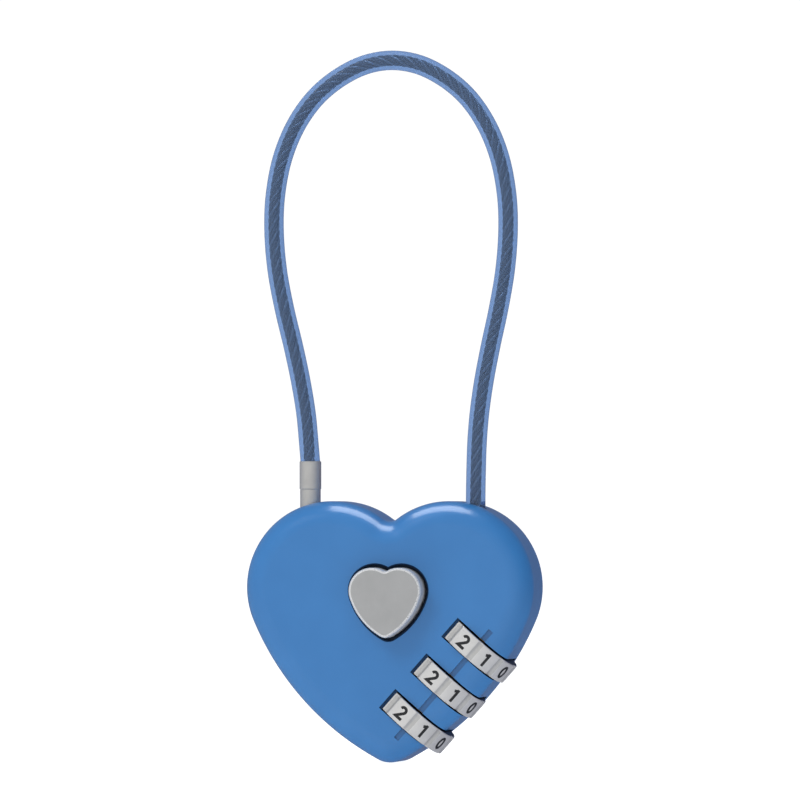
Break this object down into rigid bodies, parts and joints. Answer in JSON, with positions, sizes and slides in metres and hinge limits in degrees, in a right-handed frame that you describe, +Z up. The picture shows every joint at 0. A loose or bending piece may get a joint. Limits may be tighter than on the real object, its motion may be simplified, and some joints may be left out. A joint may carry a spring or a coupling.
{
  "type": "combination cable padlock",
  "caption": "Heart-shaped combination padlock with number wheels, a heart push button and a sheathed cable shackle",
  "frame": {"origin": "inside the top of the cable loop, in the middle of the cable's depth, where the lock hangs", "axes": "+Z up along the cable loop, +X to the right seen from the front, the front with the button and the wheels faces -Y"},
  "size_m": [0.0414, 0.0166, 0.1012],
  "materials": {
    "case_paint": "gloss blue enamel on a zinc die casting",
    "wheel_metal": "satin nickel plate with black numbers",
    "button_metal": "satin nickel plate with a bright rim",
    "plug_metal": "satin nickel plate",
    "steel": "plain bright steel",
    "spring_steel": "drawn spring wire and strip",
    "brass": "turned brass",
    "rope_steel": "dark twisted steel strands",
    "sheath_pvc": "clear blue tinted soft plastic sleeve",
    "digit_ink": "black number filling"
  },
  "bodies": {
    "case": {"body_casting": "case_paint", "back_cover": "case_paint", "case_rivet_1": "steel", "case_rivet_2": "steel", "case_rivet_3": "steel", "case_rivet_4": "steel", "slider_spring": "spring_steel", "click_spring": "spring_steel", "click_screw_1": "steel", "click_screw_2": "steel", "button_spring": "spring_steel", "catch_spring": "spring_steel", "catch_screw": "steel", "ejector_spring": "spring_steel", "anchor_ferrule": "plug_metal", "cable_sheath": "sheath_pvc", "wire_rope": "rope_steel"},
    "dial_1": {"number_wheel_1": "wheel_metal", "code_sleeve_1": "brass"},
    "dial_2": {"number_wheel_2": "wheel_metal", "code_sleeve_2": "brass"},
    "dial_3": {"number_wheel_3": "wheel_metal", "code_sleeve_3": "brass"},
    "release": {"dial_spindle": "steel", "release_slider": "steel"},
    "button": {"heart_button": "button_metal"},
    "plug": {"plug_pin": "plug_metal", "crimp_ferrule": "plug_metal"}
  },
  "joints": [
    {"name": "dial_1_turn", "type": "hinge", "parent": "case", "child": "dial_1", "pos_m": [0.0074, 0.00132, -0.0868], "axis": [0.6639, 0, 0.7478], "continuous": true, "deforming": ["click_spring"]},
    {"name": "dial_2_turn", "type": "hinge", "parent": "case", "child": "dial_2", "pos_m": [0.0074, 0.00132, -0.0868], "axis": [0.6639, 0, 0.7478], "continuous": true, "deforming": ["click_spring"]},
    {"name": "dial_3_turn", "type": "hinge", "parent": "case", "child": "dial_3", "pos_m": [0.0074, 0.00132, -0.0868], "axis": [0.6639, 0, 0.7478], "continuous": true, "deforming": ["click_spring"]},
    {"name": "button_press", "type": "slide", "parent": "case", "child": "button", "axis": [0, 1, 0], "range_m": [0, 0.0015], "stiffness_N_per_m": 400, "springref_m": -0.0015, "deforming": ["button_spring"]},
    {"name": "release_slide", "type": "slide", "parent": "case", "child": "release", "axis": [0.6639, 0, 0.7478], "range_m": [0, 0.0015], "deforming": ["slider_spring", "catch_spring"]},
    {"name": "plug_pull", "type": "slide", "parent": "case", "child": "plug", "axis": [0, 0, 1], "range_m": [0, 0.0125], "deforming": ["ejector_spring", "catch_spring", "cable_sheath", "wire_rope"]}
  ],
  "couplings": [
    {"joint": "release_slide", "follows": "button_press", "ratio": 1}
  ]
}
